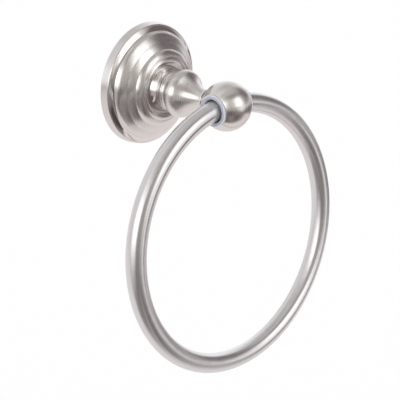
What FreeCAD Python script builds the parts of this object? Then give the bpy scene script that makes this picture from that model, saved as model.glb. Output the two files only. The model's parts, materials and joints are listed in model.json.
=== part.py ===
import FreeCAD, Part
import math
import os

# Towel ring: a stepped round escutcheon on the wall, a bell shaped post, a cross bored ball and
# a loose round ring that turns in two flanged bushes in the ball.
# Lengths are in millimetres, angles in degrees.
# The wall is the plane y = 0 and the post stands out along -Y, with +Z up.
# The origin is the centre of the escutcheon's back, and X runs along the bore of the ball.

# Driving dimensions
RING_OUTER_D = 152.4
TUBE_D = 10.5
TUBE_WALL = 1.0
STAND_OFF = 58.5
BALL_D = 26.0
RIM_D = 67.2
REST_SWING = 7.0
REST_SKEW = 3.0

# Ring
TUBE_R = TUBE_D / 2
RING_R = RING_OUTER_D / 2 - TUBE_R
SEAM_GAP = 0.3
RING_LIFT = 0.3
PIN_LENGTH = 15.0
PIN_PLAY = 0.05

# Ball and bushes
BALL_R = BALL_D / 2
FLAT_X = 9.9
BUSH_SEAT_R = 7.25
BUSH_BORE_R = 6.2
BUSH_PLAY = 0.05
LIP_R = 8.3
LIP_THICK = 1.3
LIP_EDGE = 0.45
BUSH_INNER_X = 0.5
STEM_R = 4.6

# Escutcheon, as depth from the wall and radius at that depth
RIM_R = RIM_D / 2
RIM_FRONT = 5.2
RIM_FRONT_R = 32.1
RIM_EDGE = 0.8
RIM_INSIDE = 3.8
RIM_INSIDE_R = 31.1
LEDGE_INSIDE = 4.2
LEDGE_INSIDE_R = 28.4
CREASE = 6.5
CREASE_R = 29.4
DOME = 9.2
DOME_R = 28.0
OUTER_SLOPE = 11.2
OUTER_SLOPE_R = 24.9
SMALL_STEP = 11.55
SMALL_STEP_R = 24.5
MIDDLE_SLOPE = 13.45
MIDDLE_SLOPE_R = 21.35
LARGE_STEP = 13.75
LARGE_STEP_R = 21.0
LARGE_RISE = 14.9
LARGE_RISE_R = 20.3
INNER_SLOPE = 16.35
INNER_SLOPE_R = 17.3
CROWN_STEP = 16.65
CROWN_STEP_R = 16.9
CROWN = 17.05
CROWN_R = 14.9
LAND = 15.4
LAND_R = 13.0
INNER_FACE = 12.0
INNER_FACE_R = 18.8
INNER_DOME = 11.0
INNER_DOME_R = 21.7
INNER_CREASE = 6.2
INNER_CREASE_R = 27.2

# Neck collar, post and tip collar
COLLAR_BASE_R = 12.7
COLLAR_EDGE = 0.25
COLLAR_FRONT = 20.0
COLLAR_FRONT_R = 11.0
BEAD_BACK = 20.5
BEAD_BACK_R = 10.2
BEAD_FRONT = 21.7
BEAD_FRONT_R = 10.3
COVE_FRONT = 24.6
COVE_FRONT_R = 10.6
BELL_BACK = 25.0
CREST = 28.4
CREST_R = 12.9
SHOULDER_R = 5.0
WAIST = 45.5
WAIST_R = 4.95
POST_FRONT = 44.2
TIP_FRONT = 45.6
TIP_R = 6.0
TIP_EDGE = 0.35

# Tie rod and what clamps it
ROD_R = 2.5
ROD_HOLE_R = 2.75
THREAD_PLAY = 0.02
ROD_BACK = 4.9
ROD_FRONT = 50.1
WASHER_THICK = 1.0
WASHER_R = 7.5
SPRING_THICK = 1.3
SPRING_R = 4.6
SPRING_SPLIT = 1.0
NUT_ACROSS_FLATS = 8.0
NUT_THICK = 3.8

# Wall bracket and set screw
HOOK_BACK_R = 31.0
HOOK_FRONT_R = 31.5
BRACKET_THICK = 2.0
BRACKET_HALF_W = 10.0
BRACKET_LOW = 26.6
BRACKET_CORNER_R = 4.0
BRACKET_PLAY = 0.1
SCREW_HOLE_R = 2.3
SCREW_SPACING = 30.0
RELIEF_HOLE_R = 4.5
TONGUE_HALF_W = 6.0
TONGUE_DEPTH = 5.0
SET_SCREW_R = 1.5
SET_SCREW_HOLE_R = 1.55
SET_SCREW_DEPTH = 2.4
SET_SCREW_LENGTH = 6.0
SET_SCREW_EDGE = 0.2
SET_SCREW_POINT_R = 0.5
SOCKET_ACROSS_FLATS = 1.5
SOCKET_DEPTH = 1.6
BOSS_HALF_W = 4.5
BOSS_TOP = 27.8
BOSS_FRONT = 4.6

# How far an arc stands off its chord, as a share of the chord
QUARTER = (math.sqrt(2) - 1) / 2
LEDGE_HOLLOW = 0.04
DOME_ROUND = 0.12
SLOPE_ROUND = 0.05
INNER_SLOPE_ROUND = 0.10
CROWN_ROUND = 0.12
STEP_HOLLOW = 0.09
LAND_HOLLOW = 0.10
INSIDE_ROUND = 0.16
COLLAR_HOLLOW = 0.08
COVE_HOLLOW = 0.18
BEAD_ROUND = 0.35

ORIGIN = FreeCAD.Vector(0, 0, 0)
X_AXIS = FreeCAD.Vector(1, 0, 0)
Y_AXIS = FreeCAD.Vector(0, 1, 0)
Z_AXIS = FreeCAD.Vector(0, 0, 1)
PIVOT = FreeCAD.Vector(0, -STAND_OFF, 0)
OUT_OF_WALL = FreeCAD.Vector(0, -1, 0)
CHAMFER = 0.4
CUT_OVER = 1.0
NEAR = 0.01


def bulged(start, end, bulge):
    """Middle point of an arc whose rise is bulge times its chord, to the left of its way."""
    rise_a = start[1] - end[1]
    rise_b = end[0] - start[0]
    middle_a = (start[0] + end[0]) / 2 + bulge * rise_a
    middle_b = (start[1] + end[1]) / 2 + bulge * rise_b
    return (middle_a, middle_b)


def outline_face(steps, place):
    """Face inside a closed outline of straight steps (a, b) and arc steps (a, b, bulge)."""
    edges = []
    here = steps[0][:2]
    for step in steps[1:] + [steps[0][:2]]:
        there = step[:2]
        if len(step) == 3:
            middle = bulged(here, there, step[2])
            edges.append(Part.Arc(place(here), place(middle), place(there)).toShape())
        else:
            edges.append(Part.LineSegment(place(here), place(there)).toShape())
        here = there
    return Part.Face(Part.Wire(edges))


def turned_on_post(steps):
    """Solid turned about the post axis from an outline of depth and radius."""
    face = outline_face(steps, lambda p: FreeCAD.Vector(p[1], -p[0], 0))
    return face.revolve(ORIGIN, Y_AXIS, 360)


def turned_on_bore(steps):
    """Solid turned about the ball's cross bore from an outline of distance and radius."""
    face = outline_face(steps, lambda p: FreeCAD.Vector(p[0], 0, p[1]))
    face.translate(PIVOT)
    return face.revolve(PIVOT, X_AXIS, 360)


def post_cylinder(radius, back, front):
    """Cylinder on the post axis between two depths."""
    return Part.makeCylinder(radius, front - back, OUT_OF_WALL * back, OUT_OF_WALL)


def block(low, high):
    """Box between two corners."""
    size = high - low
    return Part.makeBox(size.x, size.y, size.z, low)


def hexagon_prism(across_flats, back, front):
    """Six sided bar on the post axis between two depths."""
    corner = across_flats / math.sqrt(3)
    points = []
    for index in range(7):
        angle = math.radians(60 * index)
        points.append(FreeCAD.Vector(corner * math.cos(angle), -back, corner * math.sin(angle)))
    face = Part.Face(Part.makePolygon(points))
    return face.extrude(FreeCAD.Vector(0, back - front, 0))


def set_screw_hole():
    """Radial cylinder through the bottom of the rim and its boss, where the set screw runs."""
    low = RIM_R + CUT_OVER
    start = FreeCAD.Vector(0, -SET_SCREW_DEPTH, -low)
    return Part.makeCylinder(SET_SCREW_HOLE_R, low - BOSS_TOP + CUT_OVER, start, Z_AXIS)


def escutcheon():
    """Hollow shell with a rim, a ledge, a dome of three rounded steps, a crown and a land."""
    outline = [
        (0, HOOK_BACK_R),
        (0, RIM_R - CHAMFER),
        (CHAMFER, RIM_R),
        (RIM_FRONT - RIM_EDGE, RIM_FRONT_R + RIM_EDGE),
        (RIM_FRONT, RIM_FRONT_R, QUARTER),
        (CREASE, CREASE_R, -LEDGE_HOLLOW),
        (DOME, DOME_R, DOME_ROUND),
        (OUTER_SLOPE, OUTER_SLOPE_R, SLOPE_ROUND),
        (SMALL_STEP, SMALL_STEP_R, -STEP_HOLLOW),
        (MIDDLE_SLOPE, MIDDLE_SLOPE_R, SLOPE_ROUND),
        (LARGE_STEP, LARGE_STEP_R, -STEP_HOLLOW),
        (LARGE_RISE, LARGE_RISE_R, SLOPE_ROUND),
        (INNER_SLOPE, INNER_SLOPE_R, INNER_SLOPE_ROUND),
        (CROWN_STEP, CROWN_STEP_R, -STEP_HOLLOW),
        (CROWN, CROWN_R, CROWN_ROUND),
        (LAND, LAND_R, -LAND_HOLLOW),
        (LAND, ROD_HOLE_R),
        (INNER_FACE, ROD_HOLE_R),
        (INNER_FACE, INNER_FACE_R),
        (INNER_DOME, INNER_DOME_R),
        (INNER_CREASE, INNER_CREASE_R, -INSIDE_ROUND),
        (LEDGE_INSIDE, LEDGE_INSIDE_R),
        (RIM_INSIDE, RIM_INSIDE_R),
        (BRACKET_THICK, HOOK_FRONT_R),
    ]
    boss = block(
        FreeCAD.Vector(-BOSS_HALF_W, -BOSS_FRONT, -RIM_FRONT_R),
        FreeCAD.Vector(BOSS_HALF_W, -CHAMFER, -BOSS_TOP),
    )
    return turned_on_post(outline).fuse(boss).cut(set_screw_hole()).removeSplitter()


def neck_collar():
    """Hollow sided collar between the escutcheon and the post."""
    outline = [
        (LAND, ROD_HOLE_R),
        (LAND, COLLAR_BASE_R - COLLAR_EDGE),
        (LAND + COLLAR_EDGE, COLLAR_BASE_R, QUARTER),
        (COLLAR_FRONT, COLLAR_FRONT_R, -COLLAR_HOLLOW),
        (COLLAR_FRONT, ROD_HOLE_R),
    ]
    return turned_on_post(outline)


def flare_radius():
    """Radius of the hollow flare that leaves the bell's shoulder and ends level at the waist."""
    along = WAIST - CREST
    across = WAIST_R - (CREST_R - SHOULDER_R)
    return (along**2 + across**2 - SHOULDER_R**2) / (2 * (SHOULDER_R - across))


def bell_points():
    """Back edge of the bell, the point where shoulder and flare meet, and the flare's front."""
    flare = flare_radius()
    shoulder_centre = (CREST, CREST_R - SHOULDER_R)
    flare_centre = (WAIST, WAIST_R + flare)
    share = SHOULDER_R / (SHOULDER_R + flare)
    meet = tuple(a + share * (b - a) for a, b in zip(shoulder_centre, flare_centre))
    back_rise = math.sqrt(SHOULDER_R**2 - (CREST - BELL_BACK) ** 2)
    back = (BELL_BACK, shoulder_centre[1] + back_rise)
    front_drop = math.sqrt(flare**2 - (WAIST - POST_FRONT) ** 2)
    front = (POST_FRONT, flare_centre[1] - front_drop)
    return back, meet, front


def arc_rise(start, end, radius):
    """Rise of an arc of this radius as a share of the chord between two points."""
    chord = math.dist(start, end)
    return (radius - math.sqrt(radius**2 - chord**2 / 4)) / chord


def post():
    """Bell shaped post with a small bead and a cove behind the bell."""
    back, meet, front = bell_points()
    outline = [
        (COLLAR_FRONT, ROD_HOLE_R),
        (COLLAR_FRONT, BEAD_BACK_R),
        (BEAD_BACK, BEAD_BACK_R),
        (BEAD_FRONT, BEAD_FRONT_R, BEAD_ROUND),
        (COVE_FRONT, COVE_FRONT_R, -COVE_HOLLOW),
        back,
        (*meet, arc_rise(back, meet, SHOULDER_R)),
        (*front, -arc_rise(meet, front, flare_radius())),
        (POST_FRONT, ROD_HOLE_R),
    ]
    return turned_on_post(outline)


def tip_collar():
    """Thin round edged disc between the post and the ball."""
    outline = [
        (POST_FRONT, ROD_HOLE_R),
        (POST_FRONT, TIP_R - TIP_EDGE),
        (POST_FRONT + TIP_EDGE, TIP_R, QUARTER),
        (TIP_FRONT - TIP_EDGE, TIP_R),
        (TIP_FRONT, TIP_R - TIP_EDGE, QUARTER),
        (TIP_FRONT, ROD_HOLE_R),
    ]
    return turned_on_post(outline)


def ball():
    """Ball with a flat round each mouth of its cross bore and a threaded stem at the back."""
    flat_r = math.sqrt(BALL_R**2 - FLAT_X**2)
    left, right = (-FLAT_X, flat_r), (FLAT_X, flat_r)
    outline = [
        (-FLAT_X, BUSH_SEAT_R),
        left,
        (*right, arc_rise(left, right, BALL_R)),
        (FLAT_X, BUSH_SEAT_R),
    ]
    stem = post_cylinder(STEM_R, TIP_FRONT, STAND_OFF - BUSH_SEAT_R - CUT_OVER)
    bore = Part.makeCylinder(BUSH_SEAT_R, BALL_D, PIVOT - X_AXIS * BALL_R, X_AXIS)
    thread_hole = post_cylinder(ROD_R + THREAD_PLAY, TIP_FRONT - CUT_OVER, ROD_FRONT + THREAD_PLAY)
    return turned_on_bore(outline).fuse(stem).cut(bore).cut(thread_hole).removeSplitter()


def bush(side):
    """Flanged plastic bush, with its lip outside the ball's flat; side is +1 right, -1 left."""
    sleeve_r = BUSH_SEAT_R - BUSH_PLAY
    mouth_x = FLAT_X + LIP_THICK
    outline = [
        (BUSH_INNER_X, BUSH_BORE_R),
        (BUSH_INNER_X, sleeve_r),
        (FLAT_X, sleeve_r),
        (FLAT_X, LIP_R),
        (mouth_x - LIP_EDGE, LIP_R),
        (mouth_x, LIP_R - LIP_EDGE, QUARTER),
        (mouth_x, BUSH_BORE_R + LIP_EDGE),
        (mouth_x - LIP_EDGE, BUSH_BORE_R, QUARTER),
    ]
    right = turned_on_bore(outline)
    if side > 0:
        return right
    return right.mirror(ORIGIN, X_AXIS)


def ring_arc(inner_r, outer_r, start, arc):
    """Round section, hollow or solid, swept round part of the ring and hung in its rest pose."""
    centre = FreeCAD.Vector(0, 0, -RING_R)
    face = Part.Face(Part.Wire(Part.makeCircle(outer_r, ORIGIN, X_AXIS)))
    if inner_r > 0:
        face = face.cut(Part.Face(Part.Wire(Part.makeCircle(inner_r, ORIGIN, X_AXIS)))).Faces[0]
    face.rotate(centre, Y_AXIS, start)
    solid = face.revolve(centre, Y_AXIS, arc)
    solid.rotate(ORIGIN, X_AXIS, -REST_SWING)
    solid.rotate(ORIGIN, Z_AXIS, -REST_SKEW)
    solid.translate(PIVOT + Z_AXIS * RING_LIFT)
    return solid


def ring():
    """Bent round tube whose ends meet inside the ball."""
    gap = math.degrees(SEAM_GAP / RING_R)
    return ring_arc(TUBE_R - TUBE_WALL, TUBE_R, gap / 2, 360 - gap)


def joint_pin():
    """Bent plug inside both ends of the tube, which closes the ring."""
    arc = math.degrees(PIN_LENGTH / RING_R)
    return ring_arc(0, TUBE_R - TUBE_WALL - PIN_PLAY, -arc / 2, arc)


def tie_rod():
    """Threaded rod from the ball's stem to the nut in the escutcheon."""
    outline = [
        (ROD_BACK, 0),
        (ROD_BACK, ROD_R - CHAMFER),
        (ROD_BACK + CHAMFER, ROD_R),
        (ROD_FRONT - CHAMFER, ROD_R),
        (ROD_FRONT, ROD_R - CHAMFER),
        (ROD_FRONT, 0),
    ]
    return turned_on_post(outline)


def flat_washer():
    """Plain washer against the escutcheon's inner face."""
    front = INNER_FACE
    outer = post_cylinder(WASHER_R, front - WASHER_THICK, front)
    return outer.cut(post_cylinder(ROD_HOLE_R, front - WASHER_THICK, front))


def spring_washer():
    """Split washer between the plain washer and the nut."""
    front = INNER_FACE - WASHER_THICK
    back = front - SPRING_THICK
    body = post_cylinder(SPRING_R, back, front).cut(post_cylinder(ROD_HOLE_R, back, front))
    split = block(
        FreeCAD.Vector(-SPRING_SPLIT / 2, -front - CUT_OVER, 0),
        FreeCAD.Vector(SPRING_SPLIT / 2, -back + CUT_OVER, SPRING_R + CUT_OVER),
    )
    return body.cut(split)


def rod_nut():
    """Six sided nut with both ends turned down to a cone."""
    front = INNER_FACE - WASHER_THICK - SPRING_THICK
    back = front - NUT_THICK
    corner = NUT_ACROSS_FLATS / math.sqrt(3)
    flat = NUT_ACROSS_FLATS / 2
    cone_drop = (corner - flat) / math.sqrt(3)
    cones = turned_on_post(
        [
            (back, 0),
            (back, flat),
            (back + cone_drop, corner),
            (front - cone_drop, corner),
            (front, flat),
            (front, 0),
        ]
    )
    bar = hexagon_prism(NUT_ACROSS_FLATS, back, front)
    return bar.common(cones).cut(post_cylinder(ROD_R + THREAD_PLAY, back, front))


def wall_bracket():
    """Plate screwed to the wall, hooked in the rim at the top, with a tongue at the bottom."""
    hook = turned_on_post(
        [
            (0, 0),
            (0, HOOK_BACK_R - BRACKET_PLAY),
            (BRACKET_THICK, HOOK_FRONT_R - BRACKET_PLAY),
            (BRACKET_THICK, 0),
        ]
    )
    strip = block(
        FreeCAD.Vector(-BRACKET_HALF_W, -BRACKET_THICK, -BRACKET_LOW),
        FreeCAD.Vector(BRACKET_HALF_W, 0, RIM_R),
    )
    tongue = block(
        FreeCAD.Vector(-TONGUE_HALF_W, -TONGUE_DEPTH, -BRACKET_LOW),
        FreeCAD.Vector(TONGUE_HALF_W, 0, -BRACKET_LOW + BRACKET_THICK),
    )
    plate = strip.common(hook)
    corners = [edge for edge in plate.Edges if is_lower_corner(edge)]
    plate = plate.makeFillet(BRACKET_CORNER_R, corners)
    bracket = plate.fuse(tongue)
    for height in (-SCREW_SPACING / 2, SCREW_SPACING / 2):
        bracket = bracket.cut(wall_hole(SCREW_HOLE_R, height))
    return bracket.cut(wall_hole(RELIEF_HOLE_R, 0)).removeSplitter()


def is_lower_corner(edge):
    """True for the plate's two bottom corner edges, which run along Y."""
    box = edge.BoundBox
    runs_along_y = box.YLength > BRACKET_THICK - NEAR and box.XLength < NEAR
    return runs_along_y and box.ZMax < -BRACKET_LOW + NEAR


def wall_hole(radius, height):
    """Cylinder square to the wall at a height on the bracket's middle line."""
    start = FreeCAD.Vector(0, CUT_OVER, height)
    return Part.makeCylinder(radius, BRACKET_THICK + 2 * CUT_OVER, start, OUT_OF_WALL)


def set_screw():
    """Headless screw with a six sided socket and a cone point on the bracket's tongue."""
    point = -BRACKET_LOW
    tail = point - SET_SCREW_LENGTH
    outline = [
        (tail, 0),
        (tail, SET_SCREW_R - SET_SCREW_EDGE),
        (tail + SET_SCREW_EDGE, SET_SCREW_R),
        (point - (SET_SCREW_R - SET_SCREW_POINT_R), SET_SCREW_R),
        (point, SET_SCREW_POINT_R),
        (point, 0),
    ]
    foot = OUT_OF_WALL * SET_SCREW_DEPTH
    face = outline_face(outline, lambda p: foot + FreeCAD.Vector(p[1], 0, p[0]))
    socket = hexagon_prism(SOCKET_ACROSS_FLATS, 0, SOCKET_DEPTH)
    socket.rotate(ORIGIN, X_AXIS, -90)
    socket.translate(foot + Z_AXIS * tail)
    return face.revolve(foot, Z_AXIS, 360).cut(socket)


def main():
    """Make every piece and write each one to its own file."""
    pieces = {
        "escutcheon": escutcheon(),
        "neck_collar": neck_collar(),
        "post": post(),
        "tip_collar": tip_collar(),
        "ball": ball(),
        "bush_left": bush(-1),
        "bush_right": bush(1),
        "ring": ring(),
        "joint_pin": joint_pin(),
        "tie_rod": tie_rod(),
        "flat_washer": flat_washer(),
        "spring_washer": spring_washer(),
        "rod_nut": rod_nut(),
        "wall_bracket": wall_bracket(),
        "set_screw": set_screw(),
    }
    os.makedirs("parts", exist_ok=True)
    for name, shape in pieces.items():
        solid = shape.Solids[0] if len(shape.Solids) == 1 else shape
        solid.exportStep(f"parts/{name}.step")
        print(name, solid.isValid(), len(shape.Solids), round(solid.Volume, 1))


main()
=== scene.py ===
"""A wall mounted towel ring in satin nickel, dressed and lit for a plain studio picture."""

import itertools
import json
import logging
import math
from dataclasses import dataclass, replace
from enum import Enum
from typing import Any, Sequence

import bmesh
import bpy
from mathutils import Matrix, Vector


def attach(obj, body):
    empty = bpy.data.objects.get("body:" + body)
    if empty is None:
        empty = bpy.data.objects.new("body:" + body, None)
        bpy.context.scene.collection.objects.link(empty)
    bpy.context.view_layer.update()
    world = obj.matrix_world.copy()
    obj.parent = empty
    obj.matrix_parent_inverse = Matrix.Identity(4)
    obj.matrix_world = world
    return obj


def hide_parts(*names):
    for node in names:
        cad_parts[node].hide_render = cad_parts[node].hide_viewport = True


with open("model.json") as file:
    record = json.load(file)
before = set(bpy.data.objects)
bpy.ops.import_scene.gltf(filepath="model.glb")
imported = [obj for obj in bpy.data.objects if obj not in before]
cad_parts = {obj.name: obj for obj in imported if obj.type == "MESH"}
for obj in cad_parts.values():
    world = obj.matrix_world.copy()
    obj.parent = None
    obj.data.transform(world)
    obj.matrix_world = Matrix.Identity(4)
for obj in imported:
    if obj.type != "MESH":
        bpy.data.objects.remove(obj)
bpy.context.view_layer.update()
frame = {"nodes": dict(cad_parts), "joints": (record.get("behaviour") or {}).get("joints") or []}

PIVOT = Vector(frame["joints"][0]["pos_m"])
LOG = logging.getLogger("towel_ring")

MM = 0.001
# Rise of a quarter circle, as a share of its chord
QUARTER = (math.sqrt(2.0) - 1.0) / 2.0
# Two points nearer than this, in millimetres, are one point
SAME_PLACE = 1e-6
# How far a drill goes past the faces that it cuts, in millimetres
OVERLAP = 1.0
HARD_EDGE = math.radians(35.0)
BEVEL_ANGLE = math.radians(40.0)
BEVEL_SEGMENTS = 3

WALL_BODY = "wall_post"
RING_BODY = "swing_ring"
FINISH_MARK = "_finish"

# Most values of a noise lie between these
NOISE_LOW, NOISE_HIGH = 0.3, 0.7
# Sockets of a Mix node
FIRST_VALUE, SECOND_VALUE, MIXED_VALUE = 2, 3, 0
FIRST_COLOUR, SECOND_COLOUR, MIXED_COLOUR = 6, 7, 2
WHITE = (1.0, 1.0, 1.0, 1.0)
# Least level part of a direction, so that nothing is divided by zero straight up
LEAST_LEVEL = 0.001

Point = tuple[float, float]
Corner = tuple[float, ...]
Colour = tuple[float, float, float]
Piece = bpy.types.Object
Socket = bpy.types.NodeSocket
# What goes into a socket: another socket or a plain value
Feed = Any


class TurnAxis(Enum):
    """The line that a round piece was turned about."""

    POST = "post"
    BORE = "bore"


class Grain(Enum):
    """Which way the fine lines of a metal finish run."""

    ROUND_THE_POST = "round the post"
    ROUND_THE_BORE = "round the bore"
    ROUND_THE_TUBE = "round the tube"
    ACROSS_THE_PLATE = "across the plate"


class Combine(Enum):
    """How a second object changes a piece."""

    ADD = "UNION"
    CUT = "DIFFERENCE"


@dataclass(frozen=True)
class Outline:
    """Closed outline of a turned piece, in millimetres along its axis and out from it.

    A corner is (along, radius), or (along, radius, rise) where the way to it is an arc. The
    rise is how far the arc stands off its chord, to the left of its way, by the chord.
    A corner that turns by more than corner_turn is rounded off, from ease before it to ease
    after it, or less where that is over the share most_ease of a stretch beside it. A straight
    has a loop at end_loop times ease from its ends, unless it is under shortest times ease.
    """

    corners: tuple[Corner, ...]
    ease: float = 0.15
    most_ease: float = 0.4
    arc_step: float = math.radians(5.0)
    arc_parts: int = 4
    corner_turn: float = math.radians(12.0)
    bend: tuple[float, ...] = (0.2, 0.4, 0.6, 0.8)
    end_loop: float = 2.0
    shortest: float = 6.0

    def runs(self) -> list[list[Point]]:
        """Stretches between corners, arcs divided finely and straights given end loops.

        Returns:
            One list of points for each stretch, both ends included.
        """
        ends = [*self.corners, self.corners[0][:2]]
        runs = []
        for here, there in zip(ends, ends[1:]):
            start, end = here[:2], there[:2]
            rise = there[2] if len(there) == 3 else 0.0
            runs.append(self.arc(start, end, rise) if rise else self.straight(start, end))
        return runs

    def straight(self, start: Point, end: Point) -> list[Point]:
        """Straight stretch with a point near each end, which keeps its shading flat.

        Args:
            start: First point.
            end: Last point.

        Returns:
            Two or four points.
        """
        length = math.dist(start, end)
        if length < self.shortest * self.ease:
            return [start, end]
        share = self.end_loop * self.ease / length
        return [start, mixed(start, end, share), mixed(start, end, 1.0 - share), end]

    def arc(self, start: Point, end: Point, rise: float) -> list[Point]:
        """Arc between two points.

        Args:
            start: First point.
            end: Last point.
            rise: Height over the chord, as a share of the chord.

        Returns:
            Points along the arc.
        """
        chord = math.dist(start, end)
        way = ((end[0] - start[0]) / chord, (end[1] - start[1]) / chord)
        left = (-way[1], way[0])
        height = rise * chord
        radius = (chord**2 / 4.0 + height**2) / (2.0 * height)
        middle = mixed(start, end, 0.5)
        back = height - radius
        centre = (middle[0] + left[0] * back, middle[1] + left[1] * back)
        sweep = 4.0 * math.atan(2.0 * rise)
        count = max(self.arc_parts, math.ceil(abs(sweep) / self.arc_step))
        points = []
        for index in range(count + 1):
            angle = sweep * (index / count - 0.5)
            up, on = radius * math.cos(angle), radius * math.sin(angle)
            off = (left[0] * up + way[0] * on, left[1] * up + way[1] * on)
            points.append((centre[0] + off[0], centre[1] + off[1]))
        return points

    def points(self) -> list[Point]:
        """The whole outline with its corners eased.

        Returns:
            Points in order, the first not repeated at the end.
        """
        runs = self.runs()
        count = len(runs)
        cuts = [0.0] * (count + 1)
        for index in range(count):
            before, after = runs[index], runs[(index + 1) % count]
            if turn(before[-2], before[-1], after[1]) > self.corner_turn:
                room = self.most_ease * min(run_length(before), run_length(after))
                cuts[index + 1] = min(self.ease, room)
        cuts[0] = cuts[count]
        points: list[Point] = []
        for index, run in enumerate(runs):
            part = shortened(run, cuts[index], cuts[index + 1])
            if points and math.dist(points[-1], part[0]) < SAME_PLACE:
                part = part[1:]
            points += part
            if cuts[index + 1] > 0.0:
                after = shortened(runs[(index + 1) % count], cuts[index + 1], 0.0)
                points += [eased(part[-1], run[-1], after[0], share) for share in self.bend]
        if math.dist(points[0], points[-1]) < SAME_PLACE:
            points.pop()
        return points


def mixed(start: Point, end: Point, share: float) -> Point:
    """Point that far from start to end."""
    return (start[0] + (end[0] - start[0]) * share, start[1] + (end[1] - start[1]) * share)


def eased(start: Point, corner: Point, end: Point, share: float) -> Point:
    """Point on the curve that rounds a corner off between start and end."""
    return mixed(mixed(start, corner, share), mixed(corner, end, share), share)


def run_length(run: Sequence[Point]) -> float:
    """Length along a run of points."""
    return sum(math.dist(a, b) for a, b in zip(run, run[1:]))


def turn(before: Point, corner: Point, after: Point) -> float:
    """Angle by which the way turns at a corner."""
    into = Vector((corner[0] - before[0], corner[1] - before[1]))
    out = Vector((after[0] - corner[0], after[1] - corner[1]))
    return into.angle(out)


def shortened(run: Sequence[Point], start: float, end: float) -> list[Point]:
    """Run of points with a length taken off each end.

    Args:
        run: The points.
        start: Length taken off at the first point.
        end: Length taken off at the last point.

    Returns:
        The points that are left, with the two new ends.
    """
    points = list(run)
    for length in (start, end):
        while length > 0.0:
            step = math.dist(points[0], points[1])
            if step > length:
                points[0] = mixed(points[0], points[1], length / step)
                break
            length -= step
            points.pop(0)
        points.reverse()
    return points


def turned_point(axis: TurnAxis, along: float, radius: float, angle: float) -> Vector:
    """Place of a point of a turned piece.

    Args:
        axis: The axis it was turned about.
        along: Distance along that axis, in millimetres.
        radius: Distance from it, in millimetres.
        angle: Angle about it, from straight up.

    Returns:
        The point, in metres.
    """
    across, up = radius * math.sin(angle), radius * math.cos(angle)
    if axis is TurnAxis.POST:
        return Vector((across, -along, up)) * MM
    return PIVOT + Vector((along, across, up)) * MM


def piece_from(name: str, points: Sequence[Vector], faces: Sequence[Sequence[int]]) -> Piece:
    """Smooth shaded object with its faces turned outwards.

    Args:
        name: The piece's name.
        points: Vertices in metres.
        faces: Vertex numbers of each face.

    Returns:
        The new object.
    """
    mesh = bpy.data.meshes.new(name)
    mesh.from_pydata([tuple(p) for p in points], [], [tuple(f) for f in faces])
    work = bmesh.new()
    work.from_mesh(mesh)
    bmesh.ops.recalc_face_normals(work, faces=work.faces)
    work.to_mesh(mesh)
    work.free()
    mesh.shade_smooth()
    piece = bpy.data.objects.new(name, mesh)
    bpy.context.scene.collection.objects.link(piece)
    return piece


def turned(name: str, outline: Outline, axis: TurnAxis, steps: int) -> Piece:
    """Piece turned about an axis.

    Args:
        name: The piece's name.
        outline: Its outline.
        axis: The axis.
        steps: Divisions of a full turn.

    Returns:
        The new object.
    """
    rows = []
    points: list[Vector] = []
    angles = [math.tau * index / steps for index in range(steps)]
    for along, radius in outline.points():
        rows.append(range(len(points), len(points) + steps))
        points += [turned_point(axis, along, radius, angle) for angle in angles]
    faces = []
    for lower, upper in zip(rows, rows[1:] + rows[:1]):
        for index in range(steps):
            after = (index + 1) % steps
            faces.append((lower[index], lower[after], upper[after], upper[index]))
    return piece_from(name, points, faces)


def combined(piece: Piece, tool: Piece, how: Combine) -> None:
    """Joins a second object to a piece, or cuts it out of the piece, and removes it.

    Args:
        piece: The object that is changed.
        tool: The object that is used up.
        how: Whether it is joined or cut out.
    """
    step = piece.modifiers.new("combine", "BOOLEAN")
    step.operation = how.value
    step.solver = "EXACT"
    step.object = tool
    bpy.context.view_layer.update()
    graph = bpy.context.evaluated_depsgraph_get()
    mesh = bpy.data.meshes.new_from_object(piece.evaluated_get(graph))
    piece.modifiers.clear()
    piece.data = mesh
    mesh.shade_smooth()
    mesh.set_sharp_from_angle(angle=HARD_EDGE)
    bpy.data.objects.remove(tool)


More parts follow.
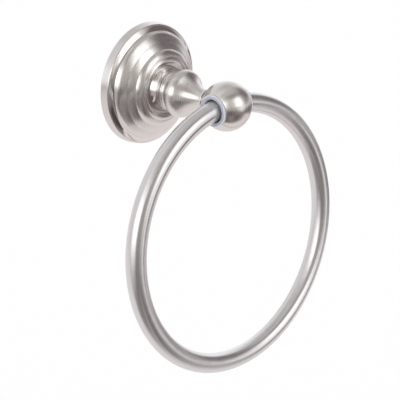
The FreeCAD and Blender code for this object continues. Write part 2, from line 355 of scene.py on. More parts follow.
class NodeBench:
    """Adds and links the nodes of one material or world."""

    def __init__(self, tree: bpy.types.NodeTree) -> None:
        """Starts with an empty node tree."""
        self.tree = tree
        tree.nodes.clear()

    def add(
        self, kind: str, inputs: dict[str | int, Feed] | None = None, **settings: Any
    ) -> bpy.types.Node:
        """New node.

        Args:
            kind: The node's type, without the word ShaderNode.
            inputs: What each input socket is linked to or set to.
            settings: The node's own settings.

        Returns:
            The node.
        """
        node = self.tree.nodes.new("ShaderNode" + kind)
        for name, value in settings.items():
            setattr(node, name, value)
        for key, value in (inputs or {}).items():
            if isinstance(value, Socket):
                self.tree.links.new(value, node.inputs[key])
            else:
                node.inputs[key].default_value = value
        return node

    def sum(self, operation: str, first: Feed, second: Feed = 0.0) -> Socket:
        """Result of one step of arithmetic."""
        return self.add("Math", {0: first, 1: second}, operation=operation).outputs[0]

    def span(self, value: Feed, low: float, high: float, to_low: float, to_high: float) -> Socket:
        """Value moved smoothly from one span to another."""
        inputs = {"Value": value, 1: low, 2: high, 3: to_low, 4: to_high}
        return self.add("MapRange", inputs, interpolation_type="SMOOTHSTEP").outputs[0]

    def rising(self, value: Feed, start: float, end: float) -> Socket:
        """Share that goes from 0 to 1 as a value goes from start to end."""
        return self.span(value, start, end, 0.0, 1.0)

    def falling(self, value: Feed, start: float, end: float) -> Socket:
        """Share that goes from 1 to 0 as a value goes from start to end."""
        return self.span(value, start, end, 1.0, 0.0)

    def vector(self, operation: str, inputs: dict[int, Feed], output: int | str = 0) -> Socket:
        """Result of one step of vector arithmetic."""
        return self.add("VectorMath", inputs, operation=operation).outputs[output]

    def length(self, vector: Feed) -> Socket:
        """Length of a vector."""
        return self.vector("LENGTH", {0: vector}, "Value")

    def joined(self, x: Feed, y: Feed = 0.0, z: Feed = 0.0) -> Socket:
        """Vector of three values."""
        return self.add("CombineXYZ", {0: x, 1: y, 2: z}).outputs[0]

    def parts(self, vector: Feed) -> bpy.types.bpy_prop_collection:
        """The values X, Y and Z of a vector."""
        return self.add("SeparateXYZ", {0: vector}).outputs

    def place(self) -> Socket:
        """The place on the object."""
        return self.add("TexCoord").outputs["Object"]

    def attribute(self, name: str) -> Socket:
        """Vector stored in the mesh under a name."""
        return self.add("Attribute", attribute_name=name).outputs["Vector"]

    def blend(self, share: Feed, first: Feed, second: Feed) -> Socket:
        """Colour between two colours."""
        inputs = {"Factor": share, FIRST_COLOUR: first, SECOND_COLOUR: second}
        return self.add("Mix", inputs, data_type="RGBA").outputs[MIXED_COLOUR]

    def shaded(self, share: Feed, colour: Colour, darkest: float, lightest: float) -> Socket:
        """Colour between a darker and a lighter shade of one colour, two factors of it."""
        low = tuple(part * darkest for part in colour)
        high = tuple(min(1.0, part * lightest) for part in colour)
        return self.blend(share, (*low, 1.0), (*high, 1.0))


def bench_for(name: str) -> NodeBench:
    """New material of this name, as a bench for its nodes."""
    made = bpy.data.materials.new(name)
    made.use_nodes = True
    return NodeBench(made.node_tree)


@dataclass(frozen=True)
class Metal:
    """A metal finish with fine lines left by the brush, the wheel or the lathe.

    A line's width and length and the depth of the relief are in metres, a cloud's size is by a
    line's, and the two radii of the bright band are in millimetres.
    """

    slot: str
    colour: Colour
    roughness: float
    grain: Grain
    spread: float = 0.04
    shade: float = 0.06
    line_width: float = 0.00022
    line_length: float = 0.012
    line_detail: float = 3.0
    line_share: float = 0.5
    cloud_width: float = 9.0
    cloud_length: float = 0.6
    cloud_detail: float = 2.0
    depth: float = 0.0000012
    stretch: float = 0.0
    quarter_turn: float = 0.25
    bright_band: Point | None = None
    bright_roughness: float = 0.1
    bright_soft: float = 0.1
    metallic: float = 1.0
    kind: str = ""

    def make(self, bench: NodeBench) -> None:
        """Adds the nodes of the finish.

        Args:
            bench: Where the nodes go.
        """
        lines, both = self.marks(bench)
        tint = bench.shaded(both, self.colour, 1.0 - self.shade, 1.0 + self.shade)
        smoothest, roughest = self.roughness - self.spread, self.roughness + self.spread
        rough = bench.span(both, NOISE_LOW, NOISE_HIGH, smoothest, roughest)
        if self.bright_band:
            rough = self.brightened(bench, rough)
        bump = bench.add("Bump", {"Height": lines, "Strength": 1.0, "Distance": self.depth})
        inputs = {
            "Base Color": tint,
            "Roughness": rough,
            "Metallic": self.metallic,
            "Normal": bump.outputs[0],
        }
        if self.stretch > 0.0:
            inputs |= self.stretching(bench)
        shader = bench.add("BsdfPrincipled", inputs)
        bench.add("OutputMaterial", {"Surface": shader.outputs[0]})

    def marks(self, bench: NodeBench) -> tuple[Socket, Socket]:
        """The fine lines of the finish, and the same lines mixed with broad clouds.

        Args:
            bench: Where the nodes go.

        Returns:
            Two values about 0.5.
        """
        space = self.grain_space(bench)
        lines = self.noise(bench, space, self.line_width, self.line_length, self.line_detail)
        cloud_size = (self.line_width * self.cloud_width, self.line_length * self.cloud_length)
        clouds = self.noise(bench, space, *cloud_size, self.cloud_detail)
        fine = bench.sum("MULTIPLY", lines, self.line_share)
        broad = bench.sum("MULTIPLY", clouds, 1.0 - self.line_share)
        return lines, bench.sum("ADD", fine, broad)

    def stretching(self, bench: NodeBench) -> dict[str | int, Feed]:
        """Shader inputs that stretch the reflections across the lines.

        Args:
            bench: Where the nodes go.

        Returns:
            Values for the shader's sockets.
        """
        if self.grain is Grain.ROUND_THE_TUBE:
            sides = {"vector_type": "VECTOR", "convert_from": "OBJECT", "convert_to": "WORLD"}
            tangent = bench.add("VectorTransform", {0: bench.attribute("tube_way")}, **sides)
            return {"Anisotropic": self.stretch, "Tangent": tangent.outputs[0]}
        axis = "X" if self.grain is Grain.ROUND_THE_BORE else "Y"
        tangent = bench.add("Tangent", direction_type="RADIAL", axis=axis)
        return {
            "Anisotropic": self.stretch,
            "Anisotropic Rotation": self.quarter_turn,
            "Tangent": tangent.outputs[0],
        }

    def brightened(self, bench: NodeBench, rough: Feed) -> Socket:
        """Roughness with a smoother band between two radii about the post.

        Args:
            bench: Where the nodes go.
            rough: Roughness outside the band.

        Returns:
            The roughness everywhere.
        """
        level = bench.vector("MULTIPLY", {0: bench.place(), 1: (1.0, 0.0, 1.0)})
        radius = bench.length(level)
        low, high = (edge * MM for edge in self.bright_band)
        soft = self.bright_soft * MM
        over = bench.rising(radius, low - soft, low + soft)
        under = bench.falling(radius, high - soft, high + soft)
        within = bench.sum("MULTIPLY", over, under)
        inputs = {"Factor": within, FIRST_VALUE: rough, SECOND_VALUE: self.bright_roughness}
        return bench.add("Mix", inputs).outputs[MIXED_VALUE]

    def grain_space(self, bench: NodeBench) -> tuple[Socket, Socket]:
        """Two vectors, in metres: the place across the lines and the place along them.

        Args:
            bench: Where the nodes go.

        Returns:
            The vector across and the vector along.
        """
        if self.grain is Grain.ROUND_THE_TUBE:
            return bench.attribute("tube_run"), bench.attribute("tube_section")
        place = bench.parts(bench.place())
        if self.grain is Grain.ACROSS_THE_PLATE:
            return bench.joined(place["Z"], place["Y"]), bench.joined(place["X"])
        level, depth = place["X"], place["Y"]
        if self.grain is Grain.ROUND_THE_BORE:
            level, depth = bench.sum("SUBTRACT", place["Y"], PIVOT.y), place["X"]
        flat = bench.joined(level, place["Z"])
        return bench.joined(bench.length(flat), depth), flat

    def noise(
        self,
        bench: NodeBench,
        space: tuple[Socket, Socket],
        width: float,
        length: float,
        detail: float,
    ) -> Socket:
        """Noise drawn out into lines.

        Args:
            bench: Where the nodes go.
            space: Place across the lines and place along them.
            width: Width of a line, in metres.
            length: Length of a line, in metres.
            detail: Octaves of noise.

        Returns:
            A value about 0.5.
        """
        across, along = (
            bench.parts(bench.vector("SCALE", {0: place, 3: 1.0 / size}))
            for place, size in zip(space, (width, length))
        )
        place = bench.joined(across["X"], across["Y"], along["X"])
        inputs = {"Vector": place, "W": along["Y"], "Scale": 1.0, "Detail": detail}
        return bench.add("TexNoise", inputs, noise_dimensions="4D").outputs[0]


@dataclass(frozen=True)
class MilkyNylon:
    """Natural nylon of the bushes, which lets some light into it.

    Outside its outer radius the colour is lighter and greyer, a painted sheen on the lip's
    rounded edge, and inside its inner radius it is lighter still, painted light on the bore wall,
    which lies in shade. There is a soft step at each radius, all three in millimetres. The
    light's reach and the depth of the relief are in metres.
    """

    slot: str = "milky_nylon"
    colour: Colour = (0.50, 0.50, 0.58)
    # Painted sheen: lighter, greyer colour of the lip's rounded outer edge
    outer: Colour = (0.58, 0.60, 0.66)
    # Painted light: much lighter colour of the bore wall, which lies in shade
    inner: Colour = (0.88, 0.88, 0.93)
    painted_sheen_r: float = 7.7
    painted_light_r: float = 6.35
    soft: float = 0.25
    darkest: float = 0.93
    lightest: float = 1.05
    cloud_scale: float = 900.0
    cloud_detail: float = 3.0
    roughness: float = 0.32
    spread: float = 0.06
    relief: float = 0.6
    depth: float = 0.00001
    reach: float = 0.003
    refraction: float = 1.53
    kind: str = ""

    def make(self, bench: NodeBench) -> None:
        """Adds the nodes of the plastic.

        Args:
            bench: Where the nodes go.
        """
        place = bench.place()
        cloud = {"Vector": place, "Scale": self.cloud_scale, "Detail": self.cloud_detail}
        clouds = bench.add("TexNoise", cloud).outputs[0]
        tint = bench.shaded(clouds, self.colour, self.darkest, self.lightest)
        off_pivot = bench.vector("SUBTRACT", {0: place, 1: tuple(PIVOT)})
        radius = bench.length(bench.vector("MULTIPLY", {0: off_pivot, 1: (0.0, 1.0, 1.0)}))
        soft = self.soft * MM
        outer, inner = self.painted_sheen_r * MM, self.painted_light_r * MM
        # Painted sheen: the lip's outer edge made lighter and greyer
        outside = bench.rising(radius, outer - soft, outer + soft)
        tint = bench.blend(outside, tint, (*self.outer, 1.0))
        # Painted light: the bore wall made lighter, where it lies in shade
        inside = bench.falling(radius, inner - soft, inner + soft)
        tint = bench.blend(inside, tint, (*self.inner, 1.0))
        smoothest, roughest = self.roughness - self.spread, self.roughness + self.spread
        bump = {"Height": clouds, "Strength": self.relief, "Distance": self.depth}
        inputs = {
            "Base Color": tint,
            "Roughness": bench.span(clouds, NOISE_LOW, NOISE_HIGH, smoothest, roughest),
            "Normal": bench.add("Bump", bump).outputs[0],
            "Subsurface Weight": 1.0,
            "Subsurface Radius": (self.reach,) * 3,
            "Subsurface Scale": 1.0,
            "IOR": self.refraction,
        }
        shader = bench.add("BsdfPrincipled", inputs)
        bench.add("OutputMaterial", {"Surface": shader.outputs[0]})


SATIN_NICKEL = Metal(
    "satin_nickel", (0.67, 0.65, 0.635), 0.28, Grain.ROUND_THE_POST, stretch=0.85
)
COVER_NICKEL = replace(SATIN_NICKEL, depth=0.0000008, bright_band=(29.5, 32.0), kind="_cover")
BALL_NICKEL = replace(
    SATIN_NICKEL,
    grain=Grain.ROUND_THE_BORE,
    roughness=0.265,
    spread=0.02,
    shade=0.03,
    depth=0.0000003,
    kind="_ball",
)
BRIGHT_NICKEL = Metal(
    "polished_nickel", (0.70, 0.675, 0.66), 0.09, Grain.ROUND_THE_POST, spread=0.02, shade=0.03
)
BRUSHED_TUBE = Metal(
    "brushed_ring",
    (0.66, 0.65, 0.66),
    0.25,
    Grain.ROUND_THE_TUBE,
    spread=0.02,
    shade=0.05,
    depth=0.0000005,
    stretch=0.9,
    metallic=0.94,
)
ZINC_PLATE = Metal(
    "zinc_plate", (0.62, 0.64, 0.66), 0.32, Grain.ACROSS_THE_PLATE, line_width=0.0006
)
PLAIN_STEEL = Metal("plain_steel", (0.60, 0.60, 0.60), 0.28, Grain.ROUND_THE_POST)
BLACK_OXIDE = Metal("dark_steel", (0.07, 0.07, 0.075), 0.38, Grain.ACROSS_THE_PLATE)
NYLON = MilkyNylon()


def dressed(piece: Piece, finish: Metal | MilkyNylon) -> None:
    """Gives a piece its finish as its only material, which is made once."""
    name = finish.slot + finish.kind + FINISH_MARK
    if name not in bpy.data.materials:
        finish.make(bench_for(name))
    piece.data.materials.clear()
    piece.data.materials.append(bpy.data.materials[name])


def placed(piece: Piece, finish: Metal | MilkyNylon, body: str, *nodes: str) -> None:
    """Dresses a piece, lets it ride on a body and stand for its CAD nodes.

    Args:
        piece: The piece.
        finish: Its finish.
        body: The body that carries it.
        nodes: The CAD nodes that it stands for.
    """
    dressed(piece, finish)
    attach(piece, body)
    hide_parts(*nodes)
    LOG.info("%s: %s faces on %s", piece.name, len(piece.data.polygons), body)


def kept(node: str, finish: Metal, edge: float) -> None:
    """Shows a CAD node in its finish, with its edges eased by a bevel.

    Args:
        node: The node's name.
        finish: Its finish.
        edge: Width of the bevel, in millimetres.
    """
    piece = frame["nodes"][node]
    dressed(piece, finish)
    bevel = piece.modifiers.new("eased edges", "BEVEL")
    bevel.width = edge * MM
    bevel.segments = BEVEL_SEGMENTS
    bevel.limit_method = "ANGLE"
    bevel.angle_limit = BEVEL_ANGLE
    LOG.info("%s: kept from the frame", node)


def block(name: str, low: Sequence[float], high: Sequence[float]) -> Piece:
    """Box between two corners given in millimetres.

    Args:
        name: The object's name.
        low: Lowest corner.
        high: Highest corner.

    Returns:
        The new object.
    """
    points = [Vector(corner) * MM for corner in itertools.product(*zip(low, high))]
    faces = [(0, 1, 3, 2), (4, 6, 7, 5), (0, 4, 5, 1), (2, 3, 7, 6), (0, 2, 6, 4), (1, 5, 7, 3)]
    return piece_from(name, points, faces)


def round_bar(name: str, radius: float, start: Vector, end: Vector, steps: int) -> Piece:
    """Round bar between two points, for cutting a hole or for joining to a piece.

    Args:
        name: The object's name.
        radius: Radius in millimetres.
        start: Centre of one end, in millimetres.
        end: Centre of the other end, in millimetres.
        steps: Sides of the bar.

    Returns:
        The new object.
    """
    way = (end - start).normalized()
    side = way.orthogonal().normalized()
    other = way.cross(side)
    points = []
    for centre in (start, end):
        for index in range(steps):
            angle = math.tau * index / steps
            out = side * math.cos(angle) + other * math.sin(angle)
            points.append((centre + out * radius) * MM)
    faces: list[tuple[int, ...]] = [tuple(range(steps)), tuple(range(steps, 2 * steps))]
    for index in range(steps):
        after = (index + 1) % steps
        faces.append((index, after, steps + after, steps + index))
    return piece_from(name, points, faces)


@dataclass(frozen=True)
class Escutcheon:
    """Hollow round wall cover, turned about the post, with the boss of its set screw."""

    rim_r: float = 33.6
    chamfer: float = 0.4
    rim_front: float = 5.2
    rim_front_r: float = 32.1
    rim_edge: float = 0.8
    crease: Point = (6.5, 29.4)
    dome: Point = (9.2, 28.0)
    outer_slope: Point = (11.2, 24.9)
    small_step: Point = (11.55, 24.5)
    middle_slope: Point = (13.45, 21.35)
    large_step: Point = (13.75, 21.0)
    large_rise: Point = (14.9, 20.3)
    inner_slope: Point = (16.35, 17.3)
    crown_step: Point = (16.65, 16.9)
    crown: Point = (17.05, 14.9)
    land: Point = (15.4, 13.0)
    rod_hole_r: float = 2.75
    inner_face: Point = (12.0, 18.8)
    inner_dome: Point = (11.0, 21.7)
    inner_crease: Point = (6.2, 27.2)
    ledge_inside: Point = (4.2, 28.4)
    rim_inside: Point = (3.8, 31.1)
    bracket_thick: float = 2.0
    hook_back_r: float = 31.0
    hook_front_r: float = 31.5
    ledge_hollow: float = 0.04
    dome_round: float = 0.12
    slope_round: float = 0.05
    soft_round: float = 0.03
    inner_slope_round: float = 0.10
    crown_round: float = 0.12
    step_hollow: float = 0.09
    land_hollow: float = 0.10
    inner_round: float = 0.16
    boss_half_w: float = 4.5
    boss_top: float = 27.8
    boss_front: float = 4.6
    screw_hole_r: float = 1.55
    screw_depth: float = 2.4
    ease: float = 0.7
    steps: int = 256
    screw_steps: int = 48

    def outline(self) -> Outline:
        """Section of the shell, from the back of the rim over the front and along the inside."""
        corners: tuple[Corner, ...] = (
            (0.0, self.hook_back_r),
            (0.0, self.rim_r - self.chamfer),
            (self.chamfer, self.rim_r),
            (self.rim_front - self.rim_edge, self.rim_front_r + self.rim_edge),
            (self.rim_front, self.rim_front_r, QUARTER),
            (*self.crease, -self.ledge_hollow),
            (*self.dome, self.dome_round),
            (*self.outer_slope, self.soft_round),
            self.small_step,
            (*self.middle_slope, self.soft_round),
            (*self.large_step, -self.step_hollow),
            (*self.large_rise, self.slope_round),
            (*self.inner_slope, self.inner_slope_round),
            (*self.crown_step, -self.step_hollow),
            (*self.crown, self.crown_round),
            (*self.land, -self.land_hollow),
            (self.land[0], self.rod_hole_r),
            (self.inner_face[0], self.rod_hole_r),
            self.inner_face,
            self.inner_dome,
            (*self.inner_crease, -self.inner_round),
            self.ledge_inside,
            self.rim_inside,
            (self.bracket_thick, self.hook_front_r),
        )
        return Outline(corners, self.ease)

    def build(self) -> None:
        """Makes the cover with its boss and the set screw's hole."""
        cover = turned("wall_cover", self.outline(), TurnAxis.POST, self.steps)
        boss = block(
            "boss",
            (-self.boss_half_w, -self.boss_front, -self.rim_front_r),
            (self.boss_half_w, -self.chamfer, -self.boss_top),
        )
        combined(cover, boss, Combine.ADD)
        low = Vector((0.0, -self.screw_depth, -self.rim_r - OVERLAP))
        high = Vector((0.0, -self.screw_depth, -self.boss_top + OVERLAP))
        hole = round_bar("screw_hole", self.screw_hole_r, low, high, self.screw_steps)
        combined(cover, hole, Combine.CUT)
        placed(cover, COVER_NICKEL, WALL_BODY, "escutcheon")


@dataclass(frozen=True)
class Post:
    """Bell shaped post between its bright neck collar and its bright tip collar."""

    land: float = 15.4
    rod_hole_r: float = 2.75
    collar_base_r: float = 12.7
    collar_edge: float = 0.25
    collar_front: float = 20.0
    collar_front_r: float = 11.0
    bead_back: Point = (20.5, 10.2)
    bead_front: Point = (21.7, 10.3)
    cove_front: Point = (24.6, 10.6)
    bell_back: float = 25.0
    crest: float = 28.4
    crest_r: float = 12.9
    shoulder_r: float = 5.0
    waist: float = 45.5
    waist_r: float = 4.95
    post_front: float = 44.2
    tip_front: float = 45.6
    tip_r: float = 6.0
    tip_edge: float = 0.35
    collar_hollow: float = 0.08
    bead_round: float = 0.35
    cove_hollow: float = 0.18
    collar_ease: float = 0.1
    bell_ease: float = 0.18
    tip_ease: float = 0.08
    steps: int = 224

    def flare_r(self) -> float:
        """Radius of the hollow flare that leaves the shoulder and ends level at the waist."""
        along = self.waist - self.crest
        across = self.waist_r - (self.crest_r - self.shoulder_r)
        return (along**2 + across**2 - self.shoulder_r**2) / (2.0 * (self.shoulder_r - across))

    def bell(self) -> tuple[Corner, Corner, Corner]:
        """The bell's back edge, where its shoulder meets its flare, and the flare's front.

        Returns:
            Three corners, the last two with the rise of the arc that leads to them.
        """
        flare = self.flare_r()
        shoulder_centre = (self.crest, self.crest_r - self.shoulder_r)
        flare_centre = (self.waist, self.waist_r + flare)
        meet = mixed(shoulder_centre, flare_centre, self.shoulder_r / (self.shoulder_r + flare))
        rise = math.sqrt(self.shoulder_r**2 - (self.crest - self.bell_back) ** 2)
        back = (self.bell_back, shoulder_centre[1] + rise)
        drop = math.sqrt(flare**2 - (self.waist - self.post_front) ** 2)
        front = (self.post_front, flare_centre[1] - drop)
        over_shoulder = arc_rise(back, meet, self.shoulder_r)
        along_flare = -arc_rise(meet, front, flare)
        return back, (*meet, over_shoulder), (*front, along_flare)

    def build(self) -> None:
        """Makes the post and its two collars."""
        collar = Outline(
            (
                (self.land, self.rod_hole_r),
                (self.land, self.collar_base_r - self.collar_edge),
                (self.land + self.collar_edge, self.collar_base_r, QUARTER),
                (self.collar_front, self.collar_front_r, -self.collar_hollow),
                (self.collar_front, self.rod_hole_r),
            ),
            self.collar_ease,
        )
        piece = turned("bright_collar", collar, TurnAxis.POST, self.steps)
        placed(piece, BRIGHT_NICKEL, WALL_BODY, "neck_collar")
        back, meet, front = self.bell()
        bell = Outline(
            (
                (self.collar_front, self.rod_hole_r),
                (self.collar_front, self.bead_back[1]),
                self.bead_back,
                (*self.bead_front, self.bead_round),
                (*self.cove_front, -self.cove_hollow),
                back,
                meet,
                front,
                (self.post_front, self.rod_hole_r),
            ),
            self.bell_ease,
        )
        piece = turned("bell_post", bell, TurnAxis.POST, self.steps)
        placed(piece, SATIN_NICKEL, WALL_BODY, "post")
        tip = Outline(
            (
                (self.post_front, self.rod_hole_r),
                (self.post_front, self.tip_r - self.tip_edge),
                (self.post_front + self.tip_edge, self.tip_r, QUARTER),
                (self.tip_front - self.tip_edge, self.tip_r),
                (self.tip_front, self.tip_r - self.tip_edge, QUARTER),
                (self.tip_front, self.rod_hole_r),
            ),
            self.tip_ease,
        )
        piece = turned("bright_tip", tip, TurnAxis.POST, self.steps)
        placed(piece, BRIGHT_NICKEL, WALL_BODY, "tip_collar")


def arc_rise(start: Point, end: Point, radius: float) -> float:
    """Rise of an arc of this radius between two points, as a share of its chord."""
    chord = math.dist(start, end)
    return (radius - math.sqrt(radius**2 - chord**2 / 4.0)) / chord


@dataclass(frozen=True)
class SwivelBall:
    """Ball with a flat round each mouth of its cross bore, and the two bushes in it."""

    ball_r: float = 13.0
    flat_x: float = 9.9
    seat_r: float = 7.25
    bore_r: float = 6.2
    play: float = 0.05
    lip_r: float = 8.3
    lip_thick: float = 1.3
    lip_edge: float = 0.45
    inner_x: float = 0.5
    stem_r: float = 4.6
    stem_wall: float = 1.0
    stand_off: float = 58.5
    tip_front: float = 45.6
    arc_step: float = math.radians(2.0)
    bush_ease: float = 0.08
    ball_steps: int = 224
    stem_steps: int = 96
    bush_steps: int = 128

    def build(self) -> None:
        """Makes the ball with its stem, and both bushes."""
        flat_r = math.sqrt(self.ball_r**2 - self.flat_x**2)
        left, right = (-self.flat_x, flat_r), (self.flat_x, flat_r)
        outline = Outline(
            (
                (-self.flat_x, self.seat_r),
                left,
                (*right, arc_rise(left, right, self.ball_r)),
                (self.flat_x, self.seat_r),
            ),
            arc_step=self.arc_step,
        )
        ball = turned("swivel_ball", outline, TurnAxis.BORE, self.ball_steps)
        back = Vector((0.0, -self.tip_front, 0.0))
        inside = Vector((0.0, -(self.stand_off - self.seat_r - self.stem_wall), 0.0))
        stem = round_bar("stem", self.stem_r, back, inside, self.stem_steps)
        combined(ball, stem, Combine.ADD)
        placed(ball, BALL_NICKEL, WALL_BODY, "ball")
        for side, name in ((-1.0, "left"), (1.0, "right")):
            outline = self.bush_outline(side)
            bush = turned(f"nylon_bush_{name}", outline, TurnAxis.BORE, self.bush_steps)
            placed(bush, NYLON, WALL_BODY, f"bush_{name}")

    def bush_outline(self, side: float) -> Outline:
        """Section of one bush, with side +1 for the right one and -1 for the left one."""
        sleeve_r = self.seat_r - self.play
        mouth = self.flat_x + self.lip_thick
        quarter = QUARTER * side
        corners: tuple[Corner, ...] = (
            (self.inner_x * side, self.bore_r),
            (self.inner_x * side, sleeve_r),
            (self.flat_x * side, sleeve_r),
            (self.flat_x * side, self.lip_r),
            ((mouth - self.lip_edge) * side, self.lip_r),
            (mouth * side, self.lip_r - self.lip_edge, quarter),
            (mouth * side, self.bore_r + self.lip_edge),
            ((mouth - self.lip_edge) * side, self.bore_r, quarter),
        )
        return Outline(corners, self.bush_ease)


@dataclass(frozen=True)
class HangingRing:
    """Bent round tube that hangs in the bushes, with the plug that closes it."""

    outer_d: float = 152.4
    tube_r: float = 5.25
    wall: float = 1.0
    seam: float = 0.3
    lift: float = 0.3
    swing: float = math.radians(7.0)
    skew: float = math.radians(3.0)
    steps: int = 400
    sides: int = 56
    plug_edge: float = 0.2

    def turned_back(self) -> Matrix:
        """Turn that brings a straight ring to its swing and skew at rest."""
        return Matrix.Rotation(-self.skew, 3, "Z") @ Matrix.Rotation(-self.swing, 3, "X")

    def hung(self, point: Vector) -> Vector:
        """Point of a ring made about its own top point, moved to its place in the ball."""
        return PIVOT + (self.turned_back() @ point + Vector((0.0, 0.0, self.lift))) * MM

    def build(self) -> None:
        """Makes the tube as one closed skin, with the places that its grain is read from."""
        bend_r = self.outer_d / 2.0 - self.tube_r
        half_gap = self.seam / bend_r / 2.0
        angles = [math.tau * index / self.sides for index in range(self.sides)]
        section = [(self.tube_r, angle) for angle in angles]
        section += [(self.tube_r - self.wall, -angle) for angle in angles]
        points: list[Vector] = []
        across: list[float] = []
        along: list[float] = []
        ways: list[float] = []
        for step in range(self.steps + 1):
            round_ring = half_gap + (math.tau - 2.0 * half_gap) * step / self.steps
            sine, cosine = math.sin(round_ring), math.cos(round_ring)
            way = self.turned_back() @ Vector((cosine, 0.0, -sine))
            for radius, angle in section:
                outward, aside = radius * math.cos(angle), radius * math.sin(angle)
                place = Vector((sine, 0.0, cosine)) * (bend_r + outward)
                points.append(self.hung(place + Vector((0.0, aside, -bend_r))))
                across += [outward * MM, aside * MM, 0.0]
                along += [bend_r * sine * MM, bend_r * cosine * MM, 0.0]
                ways += list(way)
        tube = piece_from("hanging_ring", points, self.faces(len(section)))
        layers = {"tube_section": across, "tube_run": along, "tube_way": ways}
        for name, values in layers.items():
            layer = tube.data.attributes.new(name, "FLOAT_VECTOR", "POINT")
            layer.data.foreach_set("vector", values)
        placed(tube, BRUSHED_TUBE, RING_BODY, "ring")
        kept("joint_pin", PLAIN_STEEL, self.plug_edge)

    def faces(self, count: int) -> list[tuple[int, ...]]:
        """Faces of the outside, the inside and the two ends.

        Args:
            count: Points of one section, outside and inside together.

        Returns:
            Vertex numbers of each face.
        """
        faces: list[tuple[int, ...]] = []
        for step in range(self.steps):
            here, there = step * count, (step + 1) * count
            for first in (0, self.sides):
                for index in range(self.sides):
                    a, b = first + index, first + (index + 1) % self.sides
                    faces.append((here + a, here + b, there + b, there + a))
        for base in (0, self.steps * count):
            for index in range(self.sides):
                after = (index + 1) % self.sides
                inner = self.sides + (-index) % self.sides
                inner_after = self.sides + (-after) % self.sides
                faces.append((base + index, base + after, base + inner_after, base + inner))
        return faces


@dataclass(frozen=True)
class Fixings:
    """What holds the post together inside the escutcheon, and the escutcheon to the wall."""

    edge: float = 0.15
    screw_edge: float = 0.05

    def build(self) -> None:
        """Shows the fixings in their finishes."""
        for node in ("tie_rod", "flat_washer", "spring_washer", "rod_nut"):
            kept(node, PLAIN_STEEL, self.edge)
        kept("wall_bracket", ZINC_PLATE, self.edge)
        kept("set_screw", BLACK_OXIDE, self.screw_edge)


@dataclass(frozen=True)
class Zone:
    """Patch of the studio that metal sees, between two heights and two bearings in degrees.

    A bearing is measured from straight out of the wall toward the right.
    """

    colour: Colour
    low: float
    high: float
    left: float
    right: float
    soft: float

    def share(self, bench: NodeBench, way: Feed, height: Feed) -> Socket:
        """How much of the patch is seen in one direction.

        Args:
            bench: Where the nodes go.
            way: The direction.
            height: Its angle above the horizon.

        Returns:
            A value from 0 to 1.
        """
        middle = math.radians((self.left + self.right) / 2.0)
        centre = (math.sin(middle), -math.cos(middle), 0.0)
        facing = bench.vector("DOT_PRODUCT", {0: way, 1: centre}, "Value")
        level = bench.sum("MAXIMUM", bench.sum("COSINE", height), LEAST_LEVEL)
        aside = bench.sum("ARCCOSINE", bench.sum("DIVIDE", facing, level))
        over = bench.rising(height, *self.edge(self.low))
        under = bench.falling(height, *self.edge(self.high))
        within = bench.falling(aside, *self.edge((self.right - self.left) / 2.0))
        return bench.sum("MULTIPLY", bench.sum("MULTIPLY", over, under), within)

    def edge(self, angle: float) -> Point:
        """Where the soft edge at an angle in degrees starts and ends, in radians."""
        return math.radians(angle - self.soft), math.radians(angle + self.soft)


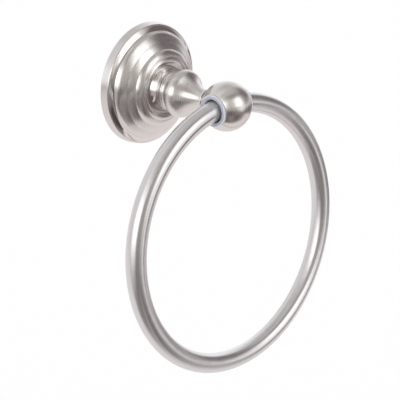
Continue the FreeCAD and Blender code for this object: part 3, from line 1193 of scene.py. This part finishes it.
@dataclass(frozen=True)
class Studio:
    """White studio: a floor, a world that metal sees as light and dark zones, and a camera.

    Lengths are in metres. The camera stands at an azimuth and an elevation, at a distance from
    the ring's pivot, and aside of it and above it. Its focal length and the picture's width are
    in pixels, its sensor is in millimetres. Metal sees the floor white, up to its near edge, and
    a dark cloth on it, whose soft left, right and back edges each lie between two values.
    """

    azimuth: float = math.radians(-47.87)
    elevation: float = math.radians(24.5)
    distance: float = 0.4997
    aside: float = 0.013557
    above: float = 0.04792
    focal: float = 978.4
    picture: float = 400.0
    sensor: float = 36.0
    clip: Point = (0.01, 50.0)
    floor_z: float = -0.6
    floor_edge: float = 0.36
    floor_turn: float = math.radians(-30.0)
    floor_far: float = 6.0
    floor_colour: Colour = (0.995, 0.995, 0.995)
    floor_in_metal: Colour = (1.04, 0.98, 0.97)
    dark_ground: Colour = (0.24, 0.20, 0.20)
    dark_left: Point = (1.1, 1.32)
    dark_right: Point = (4.14, 4.6)
    dark_back: Point = (0.1, 0.3)
    backdrop: Colour = (0.94, 0.92, 0.92)
    zones: tuple[Zone, ...] = (
        Zone((0.64, 0.63, 0.61), 52.0, 91.0, -104.0, 200.0, 8.0),
        Zone((0.57, 0.55, 0.53), 49.0, 66.0, -104.0, 150.0, 5.0),
        Zone((0.30, 0.28, 0.27), 50.0, 65.0, -56.0, 28.0, 4.0),
        Zone((1.40, 1.39, 1.42), -30.0, 22.0, 97.0, 147.0, 5.0),
        Zone((0.19, 0.16, 0.16), 2.0, 48.0, 40.0, 97.0, 7.0),
        Zone((0.47, 0.43, 0.40), -91.0, 56.0, -72.0, 0.0, 4.0),
        Zone((0.54, 0.51, 0.51), -91.0, 1.0, -150.0, -58.0, 6.0),
        Zone((0.29, 0.26, 0.25), -91.0, -4.0, -70.0, 38.0, 6.0),
        Zone((0.20, 0.16, 0.16), -24.0, -5.0, 36.0, 94.0, 4.0),
        Zone((0.43, 0.385, 0.38), -52.0, -22.0, -34.0, -10.0, 5.0),
        Zone((0.15, 0.12, 0.12), -54.0, -24.0, -88.0, -41.0, 6.0),
        Zone((0.09, 0.07, 0.075), -51.0, -25.0, -13.0, 14.0, 4.0),
        Zone((0.15, 0.12, 0.11), -26.0, -5.0, -60.0, -14.0, 5.0),
        Zone((1.70, 1.68, 1.67), -13.0, 12.0, 15.0, 32.0, 6.0),
        Zone((2.40, 2.39, 2.37), 3.0, 35.0, -108.0, -54.0, 10.0),
        Zone((2.40, 2.39, 2.37), 10.5, 44.0, -4.0, 30.0, 5.0),
    )

    def camera(self) -> None:
        """Places the camera at the photograph's viewing angle."""
        sine, cosine = math.sin(self.azimuth), math.cos(self.azimuth)
        level = math.cos(self.elevation)
        back = Vector((sine * level, -cosine * level, math.sin(self.elevation)))
        right = Vector((cosine, sine, 0.0))
        up = back.cross(right)
        data = bpy.data.cameras.new("camera")
        data.sensor_width = self.sensor
        data.lens = self.sensor * self.focal / self.picture
        data.clip_start, data.clip_end = self.clip
        eye = bpy.data.objects.new("camera", data)
        eye.location = PIVOT + back * self.distance - right * self.aside - up * self.above
        eye.rotation_mode = "QUATERNION"
        eye.rotation_quaternion = Matrix((right, up, back)).transposed().to_quaternion()
        bpy.context.scene.collection.objects.link(eye)
        bpy.context.scene.camera = eye

    def floor(self) -> None:
        """Lays the pale floor, whose near edge the metal sees as the end of the light ground."""
        far, near = self.floor_far, -self.floor_edge
        turned_edge = Matrix.Rotation(self.floor_turn, 3, "Z")
        corners = ((-far, near), (far, near), (far, far), (-far, far))
        points = [turned_edge @ Vector((x, y, self.floor_z)) for x, y in corners]
        ground = piece_from("floor", points, [(0, 1, 2, 3)])
        bench = bench_for("floor_paint")
        matte = bench.add("BsdfDiffuse", {"Color": (*self.floor_colour, 1.0)})
        seen = bench.add("Emission", {"Color": self.ground_in_metal(bench), "Strength": 1.0})
        self.shown(bench, "OutputMaterial", matte, seen)
        ground.data.materials.append(bpy.data.materials["floor_paint"])

    def ground_in_metal(self, bench: NodeBench) -> Socket:
        """Colour of the floor as metal sees it, with a dark cloth lying to the right.

        Args:
            bench: Where the nodes go.

        Returns:
            The colour.
        """
        place = bench.parts(bench.place())
        over = bench.rising(place["X"], *self.dark_left)
        under = bench.falling(place["X"], *self.dark_right)
        before = bench.falling(place["Y"], *self.dark_back)
        dark = bench.sum("MULTIPLY", bench.sum("MULTIPLY", over, under), before)
        return bench.blend(dark, (*self.floor_in_metal, 1.0), (*self.dark_ground, 1.0))

    def world(self) -> None:
        """Lights the scene evenly, and shows metal the zones over a pale backdrop."""
        world = bpy.data.worlds.new("studio")
        world.use_nodes = True
        bpy.context.scene.world = world
        bench = NodeBench(world.node_tree)
        way = bench.add("TexCoord").outputs["Generated"]
        height = bench.sum("ARCSINE", bench.parts(way)["Z"])
        shade: Feed = (*self.backdrop, 1.0)
        for zone in self.zones:
            shade = bench.blend(zone.share(bench, way, height), shade, (*zone.colour, 1.0))
        seen = bench.add("Background", {"Color": shade, "Strength": 1.0})
        even = bench.add("Background", {"Color": WHITE, "Strength": 1.0})
        self.shown(bench, "OutputWorld", even, seen)

    def shown(
        self, bench: NodeBench, output: str, plain: bpy.types.Node, in_metal: bpy.types.Node
    ) -> None:
        """Ends a tree with one shader for metal and another for all that isn't metal.

        Args:
            bench: Where the nodes go.
            output: Kind of the output node.
            plain: The shader that all other rays see.
            in_metal: The shader that rays from metal see.
        """
        ray = bench.add("LightPath").outputs["Is Glossy Ray"]
        both = bench.add("MixShader", {0: ray, 1: plain.outputs[0], 2: in_metal.outputs[0]})
        bench.add(output, {"Surface": both.outputs[0]})

    def build(self) -> None:
        """Makes the floor, the world and the camera."""
        self.floor()
        self.world()
        self.camera()
        bpy.context.scene.view_settings.view_transform = "Standard"


def main() -> None:
    """Builds every part of the towel ring and the studio round it."""
    logging.basicConfig(level=logging.INFO, format="%(name)s: %(message)s")
    for part in (Escutcheon(), Post(), SwivelBall(), HangingRing(), Fixings(), Studio()):
        LOG.info("building %s", type(part).__name__)
        part.build()


if __name__ == "__main__":
    main()
